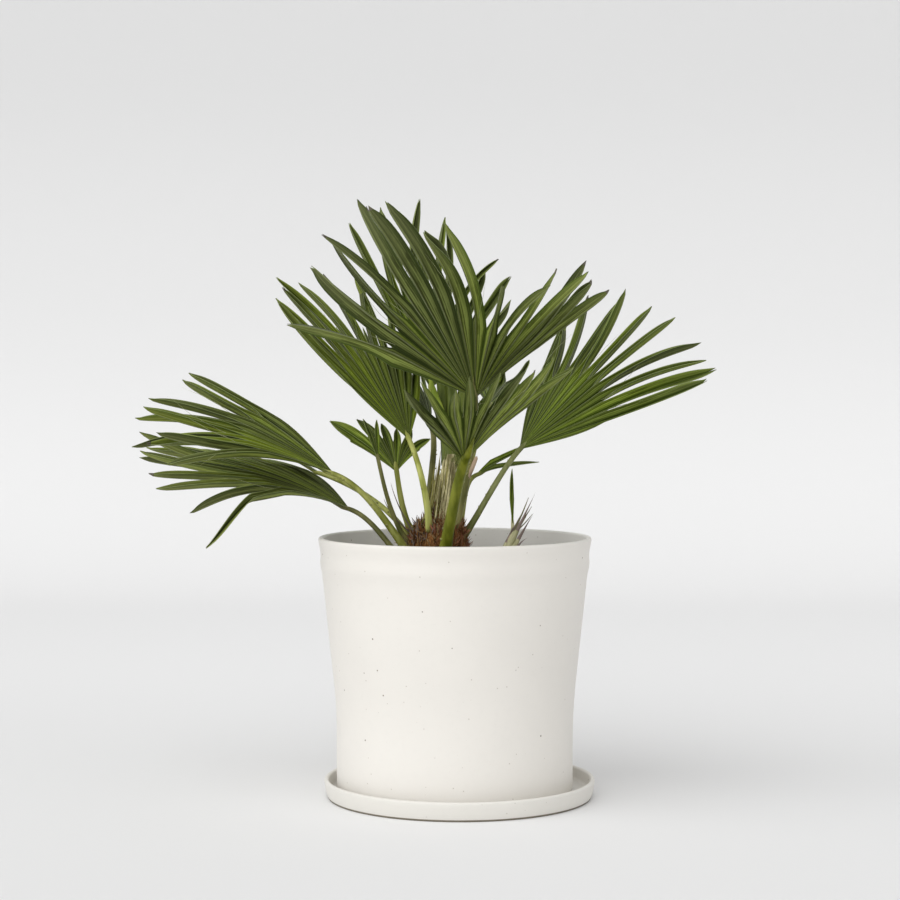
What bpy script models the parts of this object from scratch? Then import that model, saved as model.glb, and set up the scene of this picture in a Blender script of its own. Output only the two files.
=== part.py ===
"""A potted dwarf fan palm: a short fibrous trunk with stalked, pleated fan leaves, in a turned
stoneware pot on its saucer. Metres, +Z up. The origin is on the floor, on the axis of the pot.
-X is the left of the plant as it is usually seen, and -Y is towards the viewer."""
from collections import namedtuple
from math import cos, pi, radians, sin

import bmesh
import bpy
from mathutils import Vector
from mathutils.bvhtree import BVHTree

# Driving dimensions
CLEAR = 0.0003           # between pieces that touch
ROUND = 48               # facets round a turned piece

SAUCER_SHIFT = 0.0053    # the saucer stands a little to the right of the pot's axis
SAUCER_RADIUS = 0.149
SAUCER_HEIGHT = 0.0208
SAUCER_WALL = 0.005
SAUCER_FLOOR = 0.0055
SAUCER_FOOT = 0.1455     # outer radius of its flat underside
SAUCER_LIP = 0.0012      # rounding of its rim

POT_HEIGHT = 0.286       # rim above the floor
POT_RIM = 0.150          # outer radius at the rim
POT_WAIST = 0.1325       # outer radius where the straight taper ends
POT_WAIST_HEIGHT = 0.121
POT_BASE = 0.130         # outer radius of the upright foot
POT_FOOT_HEIGHT = 0.068  # where the upright foot starts to bend outwards
POT_WALL = 0.0055
POT_FLOOR = 0.008
POT_LIP = 0.0018         # rounding of its rim
POT_CORNER = 0.007       # rounding of its bottom edge
POT_STAND = SAUCER_FLOOR + CLEAR

SOIL_EDGE = 0.250        # the soil's height at the wall of the pot
SOIL_TOP = 0.252         # and in the middle
SOIL_FLAT = 0.075        # radius of its flat middle
SOIL_SHOULDER = 0.125    # radius where it has come down to its edge height

TRUNK_FOOT = Vector((-0.022, 0.0, SOIL_TOP + CLEAR))
TRUNK_LEAN = 0.150       # how far the axis moves to the right for each metre of rise
LEAN_START = 0.010       # the height above the foot where it starts to lean
# Height above the foot and radius: a flared bulb of old leaf bases, then the sheath of the spear
TRUNK_RINGS = ((0.0, 0.038), (LEAN_START, 0.036), (0.022, 0.034), (0.033, 0.0305), (0.040, 0.026),
               (0.0445, 0.019), (0.048, 0.012), (0.054, 0.0095), (0.090, 0.008), (0.126, 0.0065))
TRUNK_ROUND = 8          # bevel resolution of the trunk

# The stubs of old leaf bases, on a spiral round the bulb
BOOT_COUNT = 9
BOOT_FIRST = 0.012       # height of the lowest one above the trunk's foot
BOOT_STEP = 0.0035       # rise from one to the next
BOOT_TURN = 137.5        # turn from one to the next, in degrees
BOOT_START = 20          # heading of the lowest one, in degrees
BOOT_SUNK = 0.006        # how deep its root is in the bulb
BOOT_REACH = Vector((0.009, 0.0, 0.012))  # outwards and upwards
BOOT_RADII = (0.0048, 0.0042, 0.002)

STALK_ROUND = 1          # bevel resolution of a stalk, which gives six sides
STALK_STEPS = 9
STALK_TAPER = 0.7        # power of the fall from the foot's radius to the neck's
STALK_STUB = 0.75        # straight start of a stalk, in radii of its foot
STALK_TIP = 0.6          # radius of its rounded end, as a share of the neck's
FOOT_PULL = 0.35         # how far its curve keeps its first direction, as a share of its span
NECK_PULL = 0.3          # and its last one
HUB_MARGIN = 0.002       # the blade starts on an arc of this radius
HUB_SCALE = 1.25         # plus this many radii of the stalk's neck

WARP_SHIFT = 0.6         # a warped fan changes from one half to the other before its middle

FOLD = 0.34              # depth of a segment's V as a share of its width
PLEAT_ROWS = ((0.0, 0.0), (0.5, 0.35), (1.0, 1.0))  # share of the joined part, and of the full fold
SEGMENT_ROWS = (0.38, 0.76)  # shares of a free segment where it has a row of points
SEGMENT_TAPER = 2.6      # power of the fall of a segment's width to its tip
LIFTS = (0.0, 0.008, -0.008, 0.016, -0.016, 0.026, -0.026, 0.04, -0.04)
TRIMS = (1.0, 0.85, 0.7, 0.55)
FACE_MARGIN = 0.0012     # room kept round a segment: over and under it,
EDGE_MARGIN = 0.0015     # beside it,
TIP_MARGIN = 0.003       # and beyond its tip

# One leaf. hub: where the stalk meets the blade. first, last: from the hub to the tips of the outer
# segments, counted so that first x last points out of the upper face. reach: length of the middle
# segments. cup: how far the middle leans to the upper face, in degrees. bow: rise of a segment's
# middle over its chord. seat: heading and height of the stalk's foot on the trunk. foot, neck: the
# stalk's radius at its two ends. split: share of the blade that is joined.
# thick: the blade's thickness. droop: how far the tip of the last segment hangs down. warp: how far
# the fan's first half leans to the upper face and its second half away from it, in degrees.
Leaf = namedtuple("Leaf", "name hub first last reach count cup bow seat foot neck split thick droop warp")


def leaf(name, hub, first, last, reach, count=11, cup=0, bow=0.006, seat=(0, 0.29), foot=0.0045,
         neck=0.0032, split=0.45, thick=0.0025, droop=0.0, warp=0):
    return Leaf(name, Vector(hub), Vector(first), Vector(last), reach, count, radians(cup), bow,
                seat, foot, neck, split, thick, droop, radians(warp))


LEAVES = (
    leaf("upper_front", (0.022, -0.060, 0.439), (-0.195, -0.060, 0.064), (0.146, -0.030, 0.108), 0.246,
         count=15, cup=-6, warp=28, seat=(-30, 0.295)),
    leaf("front", (0.010, -0.085, 0.372), (-0.076, -0.115, 0.062), (0.120, -0.060, 0.100), 0.165,
         count=9, cup=-12, seat=(-76, 0.268), foot=0.0075, neck=0.0055, split=0.55),
    leaf("right", (0.071, 0.000, 0.382), (0.206, -0.076, 0.062), (0.046, 0.150, 0.138), 0.230,
         count=9, cup=7, bow=0.001, seat=(-2, 0.288)),
    leaf("upper_left", (-0.050, 0.000, 0.393), (0.020, 0.165, 0.132), (-0.158, -0.030, 0.139), 0.232,
         count=11, bow=0.001, seat=(-115, 0.295)),
    leaf("upper_back", (-0.027, 0.045, 0.449), (0.105, 0.135, 0.076), (-0.102, -0.025, 0.171), 0.224,
         count=10, seat=(60, 0.362), foot=0.004),
    leaf("left", (-0.131, -0.020, 0.355), (-0.160, 0.100, 0.108), (-0.148, -0.125, 0.018), 0.224,
         count=9, cup=-6, bow=0.014, seat=(-150, 0.274), foot=0.006),
    leaf("low_left", (-0.116, 0.020, 0.314), (-0.115, 0.150, 0.040), (-0.135, -0.145, 0.004), 0.245,
         count=10, cup=2, bow=0.020, seat=(178, 0.264), droop=0.038),
    leaf("inner_left", (-0.148, 0.046, 0.352), (-0.060, 0.080, 0.014), (-0.090, 0.026, 0.026), 0.098,
         count=5, seat=(150, 0.282)),
    leaf("small_left", (-0.064, 0.000, 0.357), (0.044, 0.030, 0.030), (-0.091, -0.010, 0.048), 0.052,
         count=6, split=0.5, seat=(178, 0.292), neck=0.0028, foot=0.004),
    leaf("bud_left", (-0.083, -0.022, 0.368), (0.002, 0.014, 0.038), (-0.022, -0.004, 0.042), 0.046,
         count=2, seat=(-168, 0.282), neck=0.0022, foot=0.0035, thick=0.0015),
    leaf("low_right", (0.022, 0.050, 0.350), (0.066, 0.000, 0.005), (0.056, 0.050, 0.036), 0.080,
         count=2, seat=(50, 0.285), neck=0.0028, foot=0.004, split=0.24),
    leaf("back_right", (0.038, 0.040, 0.430), (0.125, 0.100, -0.010), (-0.050, 0.190, 0.060), 0.215,
         count=10, seat=(25, 0.295)),
    leaf("back_left", (-0.026, 0.060, 0.405), (-0.010, 0.180, 0.060), (-0.129, 0.140, 0.110), 0.215,
         count=9, seat=(118, 0.295)),
    leaf("back", (0.003, 0.085, 0.390), (0.110, 0.160, 0.050), (-0.020, 0.200, 0.060), 0.215,
         count=9, seat=(100, 0.284)),
    leaf("offshoot", (0.062, -0.012, 0.287), (0.024, -0.008, 0.020), (0.018, 0.004, 0.046), 0.042,
         count=3, bow=0.0, seat=(0.053, -0.012, SOIL_TOP), neck=0.0024, foot=0.0036,
         split=0.2, thick=0.0015),
    leaf("offshoot_spear", (0.064, -0.003, 0.293), (0.002, 0.003, 0.068), (-0.008, 0.000, 0.068), 0.070,
         count=1, bow=0.0, seat=(0.051, -0.002, SOIL_TOP), neck=0.0022, foot=0.0032,
         split=0.5, thick=0.0015),
)


def clear_scene():
    for old in list(bpy.data.objects):
        bpy.data.objects.remove(old, do_unlink=True)


def collection(name):
    group = bpy.data.collections.new(name)
    bpy.context.scene.collection.children.link(group)
    return group


def material(name, color, roughness, metallic=0.0):
    made = bpy.data.materials.new(name)
    made.use_nodes = True
    shader = made.node_tree.nodes["Principled BSDF"]
    shader.inputs["Base Color"].default_value = (*color, 1.0)
    shader.inputs["Roughness"].default_value = roughness
    shader.inputs["Metallic"].default_value = metallic
    return made


def add_object(name, data, finish, group):
    made = bpy.data.objects.new(name, data)
    data.materials.append(finish)
    group.objects.link(made)
    return made


def turned(name, profile, finish, group, center=(0.0, 0.0), sides=ROUND):
    """A profile of radius and height, given down its outer side, turned about an upright axis."""
    mesh = bpy.data.meshes.new(name)
    points = [(r, 0.0, z) for r, z in profile]
    mesh.from_pydata(points, [(i, i + 1) for i in range(len(points) - 1)], [])
    made = add_object(name, mesh, finish, group)
    made.location = (*center, 0.0)
    screw = made.modifiers.new("turn", "SCREW")
    screw.steps = screw.render_steps = sides
    screw.use_merge_vertices = True
    screw.merge_threshold = 0.0001
    screw.use_smooth_shade = True
    return made


def limb(name, points, radii, finish, group, resolution):
    """A tapering round limb along its points, with closed ends."""
    curve = bpy.data.curves.new(name, "CURVE")
    curve.dimensions = "3D"
    curve.bevel_depth = 1.0
    curve.bevel_resolution = resolution
    curve.use_fill_caps = True
    line = curve.splines.new("POLY")
    line.points.add(len(points) - 1)
    for spot, place, radius in zip(line.points, points, radii):
        spot.co = (*place, 1.0)
        spot.radius = radius
    return add_object(name, curve, finish, group)


def mesh_of(thing):
    """A mesh of the evaluated object, with its caps welded on, in place of the object."""
    bpy.context.view_layer.update()
    graph = bpy.context.evaluated_depsgraph_get()
    mesh = bpy.data.meshes.new_from_object(thing.evaluated_get(graph))
    cage = bmesh.new()
    cage.from_mesh(mesh)
    bmesh.ops.remove_doubles(cage, verts=cage.verts, dist=0.00001)
    cage.to_mesh(mesh)
    cage.free()
    return mesh


def surface(thing):
    """The search tree of an object's evaluated faces, in world space."""
    mesh = mesh_of(thing)
    mesh.transform(thing.matrix_world)
    faces = [tuple(face.vertices) for face in mesh.polygons]
    tree = BVHTree.FromPolygons([v.co.copy() for v in mesh.vertices], faces)
    bpy.data.meshes.remove(mesh)
    return tree


def make_saucer(group, finish):
    inner = SAUCER_RADIUS - SAUCER_WALL
    lip = SAUCER_LIP
    profile = ((0.0, SAUCER_FLOOR), (inner - 3 * lip, SAUCER_FLOOR), (inner - lip, SAUCER_FLOOR + 2 * lip),
               (inner, SAUCER_HEIGHT - lip), (inner + lip, SAUCER_HEIGHT),
               (SAUCER_RADIUS - lip, SAUCER_HEIGHT), (SAUCER_RADIUS, SAUCER_HEIGHT - lip),
               (SAUCER_FOOT + lip, 2 * lip), (SAUCER_FOOT, 0.0), (0.0, 0.0))
    return turned("saucer", profile, finish, group, center=(SAUCER_SHIFT, 0.0))


def pot_radius(z):
    """Outer radius of the pot: an upright foot, a short bend, then a straight taper to the rim."""
    if z < POT_WAIST_HEIGHT:
        share = max(0.0, (z - POT_FOOT_HEIGHT) / (POT_WAIST_HEIGHT - POT_FOOT_HEIGHT))
        return POT_BASE + (POT_WAIST - POT_BASE) * share * share
    share = (z - POT_WAIST_HEIGHT) / (POT_HEIGHT - POT_WAIST_HEIGHT)
    return POT_WAIST + (POT_RIM - POT_WAIST) * share


def make_pot(group, finish):
    floor = POT_STAND + POT_FLOOR
    bend = (POT_FOOT_HEIGHT + POT_WAIST_HEIGHT) / 2
    inside = [(pot_radius(z) - POT_WALL, z) for z in (floor + POT_CORNER, POT_WAIST_HEIGHT)]
    outside = [(pot_radius(z), z) for z in (POT_WAIST_HEIGHT, bend, POT_FOOT_HEIGHT)]
    lip, corner = POT_LIP, POT_CORNER
    profile = [(0.0, floor), (POT_BASE - POT_WALL - corner, floor), *inside,
               (POT_RIM - POT_WALL, POT_HEIGHT - lip), (POT_RIM - POT_WALL + lip, POT_HEIGHT),
               (POT_RIM - lip, POT_HEIGHT), (POT_RIM, POT_HEIGHT - lip), *outside,
               (POT_BASE, POT_STAND + corner), (POT_BASE - 0.3 * corner, POT_STAND + 0.3 * corner),
               (POT_BASE - corner, POT_STAND), (0.0, POT_STAND)]
    return turned("pot", profile, finish, group)


def make_soil(group, finish):
    gap = POT_WALL + 2 * CLEAR
    floor = POT_STAND + POT_FLOOR + CLEAR
    heights = (SOIL_EDGE - 0.4 * POT_CORNER, POT_WAIST_HEIGHT, floor + POT_CORNER)
    sides = [(pot_radius(z) - gap, z) for z in heights]
    profile = [(0.0, SOIL_TOP), (SOIL_FLAT, SOIL_TOP), (SOIL_SHOULDER, SOIL_EDGE), *sides,
               (POT_BASE - gap - POT_CORNER, floor), (0.0, floor)]
    return turned("potting_soil", profile, finish, group)


def trunk_axis(height):
    """The trunk's axis stands upright out of its flat cut, then leans."""
    return TRUNK_FOOT + Vector((TRUNK_LEAN * max(0.0, height - LEAN_START), 0.0, height))


def trunk_radius(height):
    """The trunk's radius at a height above its foot."""
    for (low, wide), (high, narrow) in zip(TRUNK_RINGS, TRUNK_RINGS[1:]):
        if height <= high:
            return wide + (narrow - wide) * (height - low) / (high - low)
    return TRUNK_RINGS[-1][1]


def heading(degrees):
    """A level direction by its angle from +X towards +Y."""
    turn = radians(degrees)
    return Vector((cos(turn), sin(turn), 0.0))


def make_core(group, finish):
    """The trunk's core is a leaning bulb, drawn out into the sheath of the next leaf."""
    points = [trunk_axis(height) for height, _ in TRUNK_RINGS]
    radii = [radius for _, radius in TRUNK_RINGS]
    return limb("trunk_core", points, radii, finish, group, TRUNK_ROUND)


def make_trunk(core, stalk_trees, group, finish):
    """The trunk is its core with the stubs of old leaf bases fused round it, clear of the stalks."""
    trunk = add_object("trunk", mesh_of(core), finish, group)
    parts = bpy.data.collections.new("boots")
    for i in range(BOOT_COUNT):
        height = BOOT_FIRST + BOOT_STEP * i
        out = heading(BOOT_START + BOOT_TURN * i)
        root = trunk_axis(height) + out * (trunk_radius(height) - BOOT_SUNK)
        tip = root + out * BOOT_REACH.x + Vector((0, 0, BOOT_REACH.z))
        boot = limb(f"boot_{i}", (root, root.lerp(tip, 0.6), tip), BOOT_RADII, finish, group,
                    STALK_ROUND)
        if not any(surface(boot).overlap(tree) for tree in stalk_trees):
            parts.objects.link(bpy.data.objects.new(f"stub_{i}", mesh_of(boot)))
        bpy.data.objects.remove(boot)
    bpy.data.objects.remove(core)
    join = trunk.modifiers.new("join", "BOOLEAN")
    join.operation = "UNION"
    join.operand_type = "COLLECTION"
    join.collection = parts
    joined = mesh_of(trunk)
    trunk.modifiers.clear()
    trunk.data = joined
    for stub in list(parts.objects):
        bpy.data.objects.remove(stub)
    bpy.data.collections.remove(parts)
    return trunk


def trunk_seat(trunk_tree, angle, height):
    """The point and the outward normal of the trunk's face at a heading and a height."""
    out = heading(angle)
    axis = trunk_axis(height - TRUNK_FOOT.z)
    spot, normal, _, _ = trunk_tree.ray_cast(axis + out, -out)
    return spot, normal


def ray(blade, u):
    """Direction of the ray at share u of the fan, 0 at the first edge and 1 at the last."""
    first, last = blade.first.normalized(), blade.last.normalized()
    along = first.slerp(last, u)
    face = first.cross(last).normalized()
    lean = blade.cup * sin(pi * u) + blade.warp * sin(2 * pi * u + WARP_SHIFT * sin(pi * u))
    return along * cos(lean) + face * sin(lean)


def ray_length(blade, u):
    first, last = blade.first.length, blade.last.length
    edge = first + (last - first) * u
    return edge + (blade.reach - (first + last) / 2) * sin(pi * u)


def ray_face(blade, u):
    """The upper face's normal at share u of the fan."""
    step = 0.01
    side = ray(blade, u + step) - ray(blade, u - step)
    return ray(blade, u).cross(side).normalized()


def blade_point(blade, u, share, rise=0.0):
    """A point of the blade: share runs from 0 at the hub to 1 at the tip."""
    reach = ray_length(blade, u)
    bow = Vector((0, 0, blade.bow * 4 * share * (1 - share)))
    return blade.hub + ray(blade, u) * reach * share + bow + ray_face(blade, u) * rise


def hub_radius(blade):
    """Radius of the arc round the stalk's end where the blade begins."""
    return HUB_MARGIN + HUB_SCALE * blade.neck


def segment_width(blade):
    """Width of a segment where it leaves the joined part."""
    spread = blade.first.angle(blade.last) + abs(blade.cup)
    return spread / blade.count * blade.reach * blade.split


def make_blade(blade, trees):
    """The pleated fan as an open surface: joined rays near the hub, then free pointed segments.
    A segment that would touch a neighbour is lifted or lowered, trimmed, or left out."""
    points, faces = [], []
    count, split = blade.count, blade.split
    inner = hub_radius(blade)

    def add(place):
        points.append(place)
        return len(points) - 1

    width = segment_width(blade)
    rows = []
    for part, deep in PLEAT_ROWS:
        row = []
        for k in range(2 * count + 1):
            u = k / (2 * count)
            start = inner / ray_length(blade, u)
            at = start + (split - start) * part
            rise = FOLD * width * deep * (0.5 if k % 2 == 0 else -0.5)
            row.append(add(blade_point(blade, u, at, rise)))
        rows.append(row)
    for low, high in zip(rows, rows[1:]):
        for k in range(2 * count):
            faces.append((low[k], low[k + 1], high[k + 1], high[k]))

    for i in range(count):
        left, rib, right = rows[-1][2 * i: 2 * i + 3]
        made = segment(blade, i, width, trees)
        if made is None:
            continue
        for (a, m, b) in made[:-1]:
            a, m, b = add(a), add(m), add(b)
            faces.append((left, rib, m, a))
            faces.append((rib, right, b, m))
            left, rib, right = a, m, b
        tip = add(made[-1])
        faces.append((left, rib, tip))
        faces.append((rib, right, tip))
    return points, faces


def bend(blade, i, face, lift, part):
    """How far segment i has left the fan's surface at this part of its free length."""
    droop = blade.droop if i == blade.count - 1 else 0.0
    return (face * lift - Vector((0, 0, droop))) * part ** 2


def segment_rows(blade, i, width, lift, trim):
    """Rows of left edge, rib and right edge along one free segment, and its tip."""
    middle = (i + 0.5) / blade.count
    face = ray_face(blade, middle)
    half = 0.5 / blade.count
    rows = []
    for s in SEGMENT_ROWS:
        share = blade.split + (1 - blade.split) * s * trim
        taper = 1 - s ** SEGMENT_TAPER
        offset = half * taper * blade.split / share
        rise = FOLD * width * taper * 0.5
        away = bend(blade, i, face, lift, s * trim)
        rows.append((blade_point(blade, middle - offset, share, rise) + away,
                     blade_point(blade, middle, share, -rise) + away,
                     blade_point(blade, middle + offset, share, rise) + away))
    share = blade.split + (1 - blade.split) * trim
    rows.append(blade_point(blade, middle, share) + bend(blade, i, face, lift, trim))
    return rows


def segment(blade, i, width, trees):
    for trim in TRIMS:
        for lift in LIFTS:
            rows = segment_rows(blade, i, width, lift, trim)
            if is_clear(blade, i, rows, trees):
                return rows
    return None


def is_clear(blade, i, rows, trees):
    """Whether a segment, with its thickness and a margin, keeps off everything placed so far."""
    face = ray_face(blade, (i + 0.5) / blade.count)
    half = 0.5 / blade.count
    u = (i + 0.5) / blade.count
    start = tuple(blade_point(blade, u + k * half, blade.split) for k in (-1, 0, 1))
    margin = blade.thick * 0.5 + FACE_MARGIN
    loops = [start, *rows[:-1]]
    tip = rows[-1]
    reach = (tip - loops[-1][1]).normalized() * TIP_MARGIN
    points, faces = [], []
    for side in (-margin, 0.0, margin):
        base = len(points)
        for a, m, b in loops:
            out = (b - a).normalized() * EDGE_MARGIN
            points += [a - out + face * side, m + face * side, b + out + face * side]
        points.append(tip + reach + face * side)
        for j in range(len(loops) - 1):
            k = base + 3 * j
            faces += [(k, k + 1, k + 4, k + 3), (k + 1, k + 2, k + 5, k + 4)]
        k = base + 3 * (len(loops) - 1)
        faces += [(k, k + 1, len(points) - 1), (k + 1, k + 2, len(points) - 1)]
    tree = BVHTree.FromPolygons(points, faces)
    return not any(tree.overlap(other) for other in trees)


def bezier(a, b, c, d, steps):
    """Points along a cubic curve."""
    points = []
    for i in range(steps + 1):
        t = i / steps
        s = 1 - t
        points.append(a * s ** 3 + b * 3 * s * s * t + c * 3 * s * t * t + d * t ** 3)
    return points


def stalk_end(blade):
    """Where the stalk stops on its line, clear of the arc where the blade begins."""
    along, arc = ray(blade, 0.5), hub_radius(blade)
    samples = [ray(blade, i / 60) for i in range(61)]
    tip = STALK_TIP * blade.neck + CLEAR
    near = [one.dot(along) for one in samples if arc * sin(one.angle(along)) < tip]
    return arc * min(near) - CLEAR


def stalk_route(blade, trunk_tree):
    """The stalk leaves the trunk's face square, then bends into the line of the blade."""
    if len(blade.seat) == 3:
        spot, normal = Vector(blade.seat), Vector((0, 0, 1))
    else:
        spot, normal = trunk_seat(trunk_tree, *blade.seat)
    foot = spot + normal * CLEAR
    start = foot + normal * STALK_STUB * blade.foot
    along = ray(blade, 0.5)
    end = blade_point(blade, 0.5, stalk_end(blade) / ray_length(blade, 0.5))
    span = (end - start).length
    rise = (normal + Vector((0, 0, 1))).normalized()
    return [foot] + bezier(start, start + rise * FOOT_PULL * span, end - along * NECK_PULL * span, end,
                           STALK_STEPS - 1)


def make_palm(group, finishes):
    core = make_core(group, finishes["fibre"])
    core_tree = surface(core)
    trees = []
    for blade in LEAVES:
        route = stalk_route(blade, core_tree)
        steps = len(route) - 1
        radii = [blade.foot + (blade.neck - blade.foot) * (i / steps) ** STALK_TAPER
                 for i in range(steps)] + [blade.neck * STALK_TIP]
        stalk = limb(f"stalk_{blade.name}", route, radii, finishes["stalk"], group, STALK_ROUND)
        trees.append(surface(stalk))
    trees.append(surface(make_trunk(core, trees, group, finishes["fibre"])))
    for blade in LEAVES:
        points, faces = make_blade(blade, trees)
        mesh = bpy.data.meshes.new(f"blade_{blade.name}")
        mesh.from_pydata(points, [], faces)
        made = add_object(f"blade_{blade.name}", mesh, finishes["blade"], group)
        thick = made.modifiers.new("thick", "SOLIDIFY")
        thick.thickness = blade.thick
        thick.offset = 0.0
        trees.append(surface(made))


def main():
    clear_scene()
    group = collection("potted_fan_palm")
    finishes = {
        "stoneware": material("stoneware", (0.80, 0.77, 0.72), 0.6),
        "soil": material("soil", (0.05, 0.035, 0.025), 0.95),
        "fibre": material("fibre", (0.20, 0.09, 0.04), 0.9),
        "stalk": material("stalk", (0.20, 0.27, 0.06), 0.5),
        "blade": material("blade", (0.07, 0.13, 0.035), 0.45),
    }
    make_saucer(group, finishes["stoneware"])
    make_pot(group, finishes["stoneware"])
    make_soil(group, finishes["soil"])
    make_palm(group, finishes)


main()
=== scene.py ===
"""How a potted dwarf fan palm looks: fine pleated leaves on spiny stalks, a short shaggy trunk with
an offshoot, and a speckled stoneware pot on its saucer. Metres, +Z up, in the frame of the part.
-X is the left of the plant as it is usually seen, and -Y is towards the viewer."""

from collections import namedtuple
from math import atan2, cos, exp, pi, radians, sin, sqrt
from random import Random
from types import SimpleNamespace

import bmesh
import bpy
from mathutils import Matrix, Quaternion, Vector, noise
from mathutils.bvhtree import BVHTree


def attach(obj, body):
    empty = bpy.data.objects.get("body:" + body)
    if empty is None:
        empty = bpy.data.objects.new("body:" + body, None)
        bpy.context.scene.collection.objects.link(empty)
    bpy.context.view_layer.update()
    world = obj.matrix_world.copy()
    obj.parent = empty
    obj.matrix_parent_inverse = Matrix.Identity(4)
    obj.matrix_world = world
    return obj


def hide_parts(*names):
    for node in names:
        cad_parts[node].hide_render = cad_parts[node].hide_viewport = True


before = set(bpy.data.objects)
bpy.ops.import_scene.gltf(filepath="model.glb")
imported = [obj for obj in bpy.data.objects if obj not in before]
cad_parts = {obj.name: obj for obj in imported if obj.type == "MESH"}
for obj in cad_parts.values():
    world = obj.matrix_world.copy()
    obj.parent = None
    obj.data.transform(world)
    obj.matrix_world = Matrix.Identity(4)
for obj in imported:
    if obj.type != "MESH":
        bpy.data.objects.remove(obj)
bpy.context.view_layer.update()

UP = Vector((0, 0, 1))
CLEAR = 0.0003

# Pot and saucer, as in the part
SAUCER_SHIFT = 0.0053
SAUCER_RADIUS = 0.149
SAUCER_HEIGHT = 0.0208
SAUCER_WALL = 0.005
SAUCER_FLOOR = 0.0055
SAUCER_FOOT = 0.1455
SAUCER_CORNER = 0.004
# the dark band at the saucer's foot is partly the bare clay's own colour and partly painted contact
# shadow where it meets the floor
UNGLAZED = 0.0022        # height of the bare clay edge at the saucer's foot

POT_HEIGHT = 0.286
POT_RIM = 0.150
POT_WAIST = 0.1325
POT_WAIST_HEIGHT = 0.121
POT_BASE = 0.130
POT_FOOT_HEIGHT = 0.068
POT_WALL = 0.0055
POT_FLOOR = 0.008
POT_CORNER = 0.007
POT_STAND = SAUCER_FLOOR + CLEAR
THROWING_DROP = 0.030    # a faint ridge from the thrower's fingers, this far under the rim
THROWING_DEPTH = 0.0012
THROWING_WIDTH = 0.006
HOLLOW_DROP = 0.017      # and a fainter hollow over it
HOLLOW_WIDTH = 0.008
HOLLOW_SHARE = 0.6
SIDE_STEPS = 44
TURN_STEPS = 192
POT_UNEVEN = 0.0003
SAUCER_UNEVEN = 0.0002
EDGE_CREASE = radians(50)

SOIL_EDGE = 0.250
SOIL_TOP = 0.252
SOIL_FLAT = 0.075
SOIL_SUNK = 0.0006
SOIL_RELIEF = 0.0012
SOIL_ROUND = 0.002       # the mix rounds off by this at the wall,
SOIL_ROUND_FROM = 0.97   # from this share of its radius
SOIL_DEPTH = 0.02        # only this much of it is made
INSIDE_HEIGHTS = (0.272, 0.258, SOIL_EDGE, 0.20, POT_WAIST_HEIGHT)
CRUMBS = 620
CRUMB_SIZES = (0.0012, 0.0040)
CRUMB_SHAPE = ((0.8, 1.6), (0.6, 1.0), (0.3, 0.7))     # least and most of each side
CRUMB_ROUGH = 0.35

# Trunk, as in the part
TRUNK_FOOT = Vector((-0.022, 0.0, SOIL_TOP + CLEAR))
TRUNK_LEAN = 0.150
LEAN_START = 0.010
TRUNK_RINGS = ((0.0, 0.038), (LEAN_START, 0.036), (0.022, 0.034), (0.033, 0.0305), (0.040, 0.026),
               (0.0445, 0.019), (0.048, 0.012), (0.054, 0.0095), (0.090, 0.008), (0.126, 0.0065))
SHEATH_FOOT = 0.046      # height above the foot where the sheath stands out of the fibre
BARK_COARSE = 0.0013
BARK_FINE = 0.0008
SHEATH_SMOOTH = 0.25     # the sheath's share of that relief
BOOT_COUNT = 9
BOOT_FIRST = 0.012
BOOT_STEP = 0.0035
BOOT_TURN = 137.5
BOOT_START = 20
BOOT_SUNK = 0.006
BOOT_REACH = Vector((0.009, 0.0, 0.012))
BOOT_WIDTH = 0.0048
BOOT_STRANDS = 9

STALK_STEPS = 9          # the part's own steps: its first ring lies one step from the foot
STALK_TAPER = 0.7
STALK_STUB = 0.75
STALK_TIP = 0.6
FOOT_PULL = 0.35
NECK_PULL = 0.3
HUB_MARGIN = 0.002
HUB_SCALE = 1.25

WARP_SHIFT = 0.6
FOLD = 0.50              # deeper than the part's own fold, which is kept plain
SMALL_FOLD = 0.26        # and shallow on a small leaf
STRAP_WAIST = 0.97       # a free segment soon narrows to this share of its width
STRAP_TAPER = 9.0        # and then narrows late, to a blunt tip
SMALL_TAPER = 3.2        # sooner on a small leaf
LIFTS = (0.0, 0.008, -0.008, 0.016, -0.016, 0.026, -0.026, 0.04, -0.04)
TRIMS = (1.0, 0.85, 0.7, 0.55)

# One leaf, as in the part. hub: where the stalk meets the blade. first, last: from the hub to the
# tips of the outer segments. reach: length of the middle ones. seat: heading and height of the
# stalk's foot. split: share of the blade that is joined. droop: how far the last segment hangs.
# warp: how far the first half leans to the upper face and the second half away from it.
# stalk, tone: the finishes of the stalk and of the blade.
Leaf = namedtuple("Leaf", "name hub first last reach count cup bow seat foot neck split droop warp "
                  "stalk tone")


def leaf(name, hub, first, last, reach, count=9, cup=0, bow=0.006, seat=(0, 0.29), foot=0.0045,
         neck=0.0032, split=0.45, droop=0.0, warp=0, stalk="olive", tone="mid"):
    return Leaf(name, Vector(hub), Vector(first), Vector(last), reach, count, radians(cup), bow,
                seat, foot, neck, split, droop, radians(warp), stalk, tone)


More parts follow.
